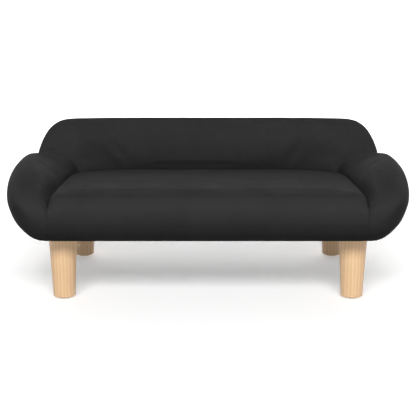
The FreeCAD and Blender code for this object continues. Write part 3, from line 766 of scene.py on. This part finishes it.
# %% The timber effect
timber, given, gives = effect(
    "timber",
    [("Place", VECTOR, None), ("Rings", FLOAT, 60.0), ("Wander", FLOAT, 3.0)],
    [("Grain", FLOAT), ("Fibre", FLOAT)],
)
stretch = add(timber, "ShaderNodeMapping", {"Scale": (1.0, 1.0, 0.06)})
timber.links.new(given["Place"], stretch.inputs["Vector"])
rings = add(
    timber,
    "ShaderNodeTexWave",
    {"Detail": 3.0, "Detail Scale": 1.6, "Detail Roughness": 0.6},
    wave_type="BANDS",
    bands_direction="X",
    wave_profile="SAW",
)
timber.links.new(stretch.outputs[0], rings.inputs["Vector"])
timber.links.new(given["Rings"], rings.inputs["Scale"])
timber.links.new(given["Wander"], rings.inputs["Distortion"])
fibres = add(timber, "ShaderNodeTexNoise", {"Scale": 420.0, "Detail": 4.0, "Roughness": 0.7})
timber.links.new(stretch.outputs[0], fibres.inputs["Vector"])
timber.links.new(rings.outputs["Fac"], gives["Grain"])
timber.links.new(fibres.outputs["Fac"], gives["Fibre"])

# %% [markdown]
# ## Wear
# Handled parts are never evenly clean. This mask has cloudy patches with a few small scuffs in them, for
# roughness and a little darkening.

# %% The wear effect
wear, given, gives = effect("wear", [("Place", VECTOR, None), ("Size", FLOAT, 14.0)], [("Mask", FLOAT)])
clouds = add(wear, "ShaderNodeTexNoise", {"Detail": 6.0, "Roughness": 0.62})
scuffs = add(wear, "ShaderNodeTexVoronoi", {"Scale": 130.0, "Randomness": 1.0}, distance="EUCLIDEAN")
for texture in (clouds, scuffs):
    wear.links.new(given["Place"], texture.inputs["Vector"])
wear.links.new(given["Size"], clouds.inputs["Scale"])
spot = add(wear, "ShaderNodeMapRange", {"From Min": 0.0, "From Max": 0.35, "To Min": 1.0, "To Max": 0.75})
wear.links.new(scuffs.outputs["Distance"], spot.inputs["Value"])
wear.links.new(math_node(wear, "MULTIPLY", clouds.outputs["Fac"], spot.outputs["Result"]), gives["Mask"])

# %% [markdown]
# ## Starting a material
# Each material begins with one shader whose steady values are set on its own sockets. Patterns are then
# placed, turned into colours or values, and linked in, and a bump gives the finest relief.

# %% Start a material
def finish(name, roughness, **constants):
    """A material with its shader, and the object coordinates to hang patterns on."""
    made = bpy.data.materials.new(name)
    made.use_nodes = True
    tree = made.node_tree
    shader = tree.nodes["Principled BSDF"]
    shader.inputs["Roughness"].default_value = roughness
    for label, value in constants.items():
        shader.inputs[label.replace("_", " ")].default_value = value
    place = add(tree, "ShaderNodeTexCoord").outputs["Object"]
    return made, tree, shader, place


def use(tree, group, place, **values):
    """Places a shared effect in a material."""
    made = add(tree, "ShaderNodeGroup", node_tree=group)
    tree.links.new(place, made.inputs["Place"])
    for label, value in values.items():
        made.inputs[label].default_value = value
    return made.outputs


def shades(tree, mask, stops):
    """Colours along a mask: stops are (position, colour)."""
    ramp = add(tree, "ShaderNodeValToRGB")
    while len(ramp.color_ramp.elements) < len(stops):
        ramp.color_ramp.elements.new(0.5)
    for element, (position, colour) in zip(ramp.color_ramp.elements, stops):
        element.position, element.color = position, (*colour, 1.0)
    tree.links.new(mask, ramp.inputs["Fac"])
    return ramp.outputs["Color"]


def between(tree, mask, low, high):
    """A value that runs from low to high as the mask runs from 0.3 to 0.7."""
    limits = {"From Min": 0.3, "From Max": 0.7, "To Min": low, "To Max": high}
    made = add(tree, "ShaderNodeMapRange", limits)
    tree.links.new(mask, made.inputs["Value"])
    return made.outputs["Result"]


def emboss(tree, shader, height, strength, depth):
    bump = add(tree, "ShaderNodeBump", {"Strength": strength, "Distance": depth})
    tree.links.new(height, bump.inputs["Height"])
    tree.links.new(bump.outputs["Normal"], shader.inputs["Normal"])


# %% [markdown]
# ## Velvet
# Black velvet is never quite black: the tips of the pile catch light at a slant, which is sheen, and the pile
# leans in soft patches. The base is a very dark grey whose shade follows the nap, with almost no gloss. On
# top of that the base colour carries painted light and shade by how far the surface faces upwards: darkest
# where it faces down, lightest where it leans up at a slant, and a little darker again on level tops.

# %% The cover's velvet
velvet, tree, shader, place = finish(
    "black velvet",
    0.9,
    Sheen_Weight=0.018,
    Sheen_Roughness=0.4,
    Sheen_Tint=(0.6, 0.6, 0.62, 1),
    Specular_IOR_Level=0.03,
)
nap = use(tree, pile, place, Patches=16.0, Tufts=650.0)
dark, light = (0.0236, 0.0236, 0.0241), (0.0277, 0.0277, 0.0283)
# Painted light and shade: the base colour is darkened on faces turned down and lightened on faces that lean
# up, by the surface's facing alone.
facing = add(tree, "ShaderNodeSeparateXYZ")
tree.links.new(add(tree, "ShaderNodeTexCoord").outputs["Normal"], facing.inputs[0])
upward = math_node(tree, "MULTIPLY_ADD", facing.outputs["Z"], 0.5)
upward.node.inputs[2].default_value = 0.5
PAINTED_SHADE_BY_FACING = (  # how far the surface faces upwards, from 0 (down) to 1 (up), and the painted light or shade the base colour gets there
    (0.05, 0.25),
    (0.5, 0.62),
    (0.78, 1.03),
    (0.92, 1.06),
    (0.985, 0.86),
    (1.0, 0.83),
)
# The nap's patches are multiplied by this painted shade and painted light.
painted_shade = shades(tree, upward, [(position, (painted_brightness,) * 3) for position, painted_brightness in PAINTED_SHADE_BY_FACING])
patches = shades(tree, nap["Nap"], [(0.36, dark), (0.64, light)])
tree.links.new(tint(tree, patches, painted_shade), shader.inputs["Base Color"])
tree.links.new(between(tree, nap["Nap"], 0.95, 0.8), shader.inputs["Roughness"])
emboss(tree, shader, nap["Height"], 0.35, 0.4 * MM)

# %% [markdown]
# ## Dust cloth
# The cloth underneath is a thin bonded felt, pressed with rows of small dots that hold its fibres together.

# %% The dust cloth's felt
felt, tree, shader, place = finish(
    "bonded felt", 0.95, Sheen_Weight=0.1, Sheen_Roughness=0.6, Specular_IOR_Level=0.2
)
dots = add(tree, "ShaderNodeTexVoronoi", {"Scale": 420.0, "Randomness": 0.25}, distance="EUCLIDEAN")
tree.links.new(place, dots.inputs["Vector"])
fibre = use(tree, pile, place, Patches=30.0, Tufts=1400.0)
dark, light = (0.010, 0.010, 0.011), (0.030, 0.030, 0.032)
tree.links.new(shades(tree, fibre["Nap"], [(0.35, dark), (0.65, light)]), shader.inputs["Base Color"])
tree.links.new(between(tree, fibre["Nap"], 1.0, 0.85), shader.inputs["Roughness"])
emboss(tree, shader, math_node(tree, "ADD", dots.outputs["Distance"], fibre["Height"]), 0.5, 0.3 * MM)

# %% [markdown]
# ## Wood
# Three woods are in the bed: the pale hardwood of the turned legs, oiled and a little satin; the rough
# softwood of the frame; and plywood. One recipe makes them all, each with its colours, ring spacing and turn.

# %% The woods
ALONG_X, ALONG_Y, ALONG_Z = (0, math.pi / 2, 0), (math.pi / 2, 0, 0), (0, 0, 0)


def wood(name, turn, rings, wander, colours, gloss, bump, **constants):
    """A wood whose grain runs along Z after the turn. colours go from early to late wood."""
    made, tree, shader, place = finish(name, gloss[0], **constants)
    turned = add(tree, "ShaderNodeMapping", {"Rotation": turn})
    tree.links.new(place, turned.inputs["Vector"])
    grain = use(tree, timber, turned.outputs[0], Rings=rings, Wander=wander)
    marks = use(tree, wear, place, Size=12.0)
    broad = math_node(tree, "MULTIPLY", grain["Grain"], 0.55)
    fine = math_node(tree, "MULTIPLY", grain["Fibre"], 0.45)
    mask = math_node(tree, "ADD", broad, fine)
    colour = shades(tree, mask, [(0.18, colours[0]), (0.5, colours[1]), (0.82, colours[2])])
    handled = shades(tree, marks["Mask"], [(0.25, (0.90, 0.88, 0.86)), (0.6, (1, 1, 1))])
    tree.links.new(tint(tree, colour, handled), shader.inputs["Base Color"])
    tree.links.new(between(tree, marks["Mask"], gloss[1], gloss[0]), shader.inputs["Roughness"])
    emboss(tree, shader, mask, 0.3, bump)
    return made


PALE = ((0.675, 0.472, 0.28), (0.64, 0.43, 0.245), (0.565, 0.355, 0.185))
OILED = {"Coat_Weight": 0.12, "Coat_Roughness": 0.35}
leg_wood = wood("oiled hardwood", ALONG_Z, 55.0, 2.5, PALE, (0.38, 0.55), 0.1 * MM, **OILED)
PINE = ((0.78, 0.60, 0.38), (0.72, 0.52, 0.30), (0.55, 0.34, 0.16))
pine = {
    name: wood(f"sawn pine {name}", turn, 45.0, 4.0, PINE, (0.7, 0.85), 0.3 * MM)
    for name, turn in (("lengthwise", ALONG_X), ("crosswise", ALONG_Y), ("upright", ALONG_Z))
}
VENEER = ((0.74, 0.57, 0.37), (0.68, 0.50, 0.31), (0.56, 0.39, 0.22))
plywood = wood("plywood", ALONG_X, 14.0, 9.0, VENEER, (0.62, 0.8), 0.15 * MM)

# %% [markdown]
# ## Metal and plastic
# Bolts, tee nuts and screws are zinc-plated steel: bright, with a faint cloudy bloom. The glides under the
# legs are pale grey nylon, scuffed dull where they slide.

# %% Zinc and nylon
zinc, tree, shader, place = finish("zinc plate", 0.35, Metallic=1.0)
marks = use(tree, wear, place, Size=90.0)
bloom = shades(tree, marks["Mask"], [(0.2, (0.50, 0.50, 0.48)), (0.65, (0.72, 0.72, 0.70))])
tree.links.new(bloom, shader.inputs["Base Color"])
tree.links.new(between(tree, marks["Mask"], 0.48, 0.26), shader.inputs["Roughness"])
emboss(tree, shader, marks["Mask"], 0.1, 0.05 * MM)

nylon, tree, shader, place = finish("grey nylon", 0.55, Subsurface_Weight=0.05)
marks = use(tree, wear, place, Size=60.0)
dulled = shades(tree, marks["Mask"], [(0.2, (0.50, 0.49, 0.47)), (0.6, (0.66, 0.65, 0.63))])
tree.links.new(dulled, shader.inputs["Base Color"])
tree.links.new(between(tree, marks["Mask"], 0.75, 0.5), shader.inputs["Roughness"])
emboss(tree, shader, marks["Mask"], 0.15, 0.1 * MM)

# %% [markdown]
# ## Give every part its finish
# The frame's nodes keep their meshes and get a finish by what they are made of. Boards take the pine whose
# grain runs along them.

# %% Assign the finishes
def cover_with(piece, material):
    piece.data.materials.clear()
    piece.data.materials.append(material)


def finish_of(node):
    """The finish for one of the frame's nodes."""
    if node.startswith(("hanger_bolt", "tee_nut")) or node.endswith("screws"):
        return zinc
    if node.startswith("leg"):
        return leg_wood
    if node.startswith("glide"):
        return nylon
    if node in ("seat_deck", "back_panel") or node.startswith("arm_panel"):
        return plywood
    if node.startswith("back_post"):
        return pine["upright"]
    if node in ("left_rail", "right_rail", "centre_rail") or node.startswith("arm_batten"):
        return pine["crosswise"]
    return pine["lengthwise"]


for piece in upholstery.values():
    cover_with(piece, velvet)
cover_with(dust_cover, felt)
REPLACED = ("seat_cover", "back_cover", "arm_cover", "dust_cover")  # the staples stay plain as well
finished = [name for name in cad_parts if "_foam" not in name and not name.startswith(REPLACED)]
for name in finished:
    cover_with(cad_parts[name], finish_of(name))
print("finished", len(finished), "frame nodes")

# %% [markdown]
# # Studio
# The bed stands on a pale floor that sweeps up into a backdrop, as a roll of paper does in a studio, so that
# no horizon shows behind it.

# %% Floor and backdrop
FLOOR_FRONT, FLOOR_BACK, FLOOR_WIDE, SWEEP, WALL = -4.0, 1.6, 12.0, 1.2, 5.0
form = bmesh.new()
bmesh.ops.create_grid(form, x_segments=1, y_segments=1, size=0.5)
bmesh.ops.scale(form, verts=form.verts, vec=(FLOOR_WIDE, FLOOR_BACK - FLOOR_FRONT, 1))
bmesh.ops.translate(form, verts=form.verts, vec=(0, (FLOOR_BACK + FLOOR_FRONT) / 2, 0))
back_edge = max(form.edges, key=lambda edge: min(vert.co.y for vert in edge.verts))
bmesh.ops.spin(
    form,
    geom=[*back_edge.verts, back_edge],
    cent=(0, FLOOR_BACK, SWEEP),
    axis=(1, 0, 0),
    angle=math.pi / 2,
    steps=24,
)
top_edge = max(form.edges, key=lambda edge: min(vert.co.z for vert in edge.verts))
grown = bmesh.ops.extrude_edge_only(form, edges=[top_edge])["geom"]
upper = [part for part in grown if isinstance(part, bmesh.types.BMVert)]
bmesh.ops.translate(form, verts=upper, vec=(0, 0, WALL))
bmesh.ops.remove_doubles(form, verts=form.verts, dist=MM)
bmesh.ops.recalc_face_normals(form, faces=form.faces)
for face in form.faces:
    face.smooth = True
floor = piece_from(form, "floor")

GLOW = {"Emission_Color": (1, 1, 1, 1), "Emission_Strength": 0.3}
paper, tree, shader, place = finish("pale paper", 0.95, Specular_IOR_Level=0.1, **GLOW)
mottle = add(tree, "ShaderNodeTexNoise", {"Scale": 3.0, "Detail": 2.0})
tree.links.new(place, mottle.inputs["Vector"])
whites = shades(tree, mottle.outputs["Fac"], [(0.3, (0.86, 0.86, 0.86)), (0.7, (0.88, 0.88, 0.88))])
tree.links.new(whites, shader.inputs["Base Color"])
cover_with(floor, paper)

# %% [markdown]
# ## Lights
# One large soft light stands in front and above, and a narrow one lights the backdrop only. A faint even
# surround keeps the shadows open. Small or hard lights would make the pile look like plastic.

# %% Lights
def softbox(name, place, target, width, height, power, spread=180):
    """A rectangular lamp. Lengths are in metres, power in watts, and the spread in degrees."""
    light = bpy.data.lights.new(name, "AREA")
    light.shape, light.size, light.size_y, light.energy = "RECTANGLE", width, height, power
    lamp = bpy.data.objects.new(name, light)
    light.spread = math.radians(spread)
    lamp.location = place
    lamp.rotation_euler = (Vector(target) - Vector(place)).to_track_quat("-Z", "Y").to_euler()
    bpy.context.scene.collection.objects.link(lamp)


softbox("key", (0, -3.9, 2.7), (0, 0, 0.15), width=3.2, height=1.2, power=225)
softbox("backdrop light", (0, 1.4, 3.2), (0, 3.0, 0.8), width=3.0, height=0.6, power=60, spread=70)

world = bpy.data.worlds.new("surround")
world.use_nodes = True
surround = world.node_tree.nodes["Background"]
surround.inputs["Color"].default_value = (1, 1, 1, 1)
surround.inputs["Strength"].default_value = 0.2
bpy.context.scene.world = world
bpy.context.scene.view_settings.view_transform = "Standard"

# %% [markdown]
# ## Camera
# The camera stands well back with a long lens, a little above the bed and looking slightly down, so that the
# bed keeps its proportions.

# %% Camera
LENS, SENSOR = 87.3, 36.0  # millimetres
CAMERA_PLACE = Vector((0, -1.783, 0.503))
LOOK_DOWN = math.radians(12)

lens = bpy.data.cameras.new("camera")
lens.lens, lens.sensor_width = LENS, SENSOR
camera = bpy.data.objects.new("camera", lens)
camera.location = CAMERA_PLACE
camera.rotation_euler = (math.pi / 2 - LOOK_DOWN, 0, 0)
bpy.context.scene.collection.objects.link(camera)
bpy.context.scene.camera = camera
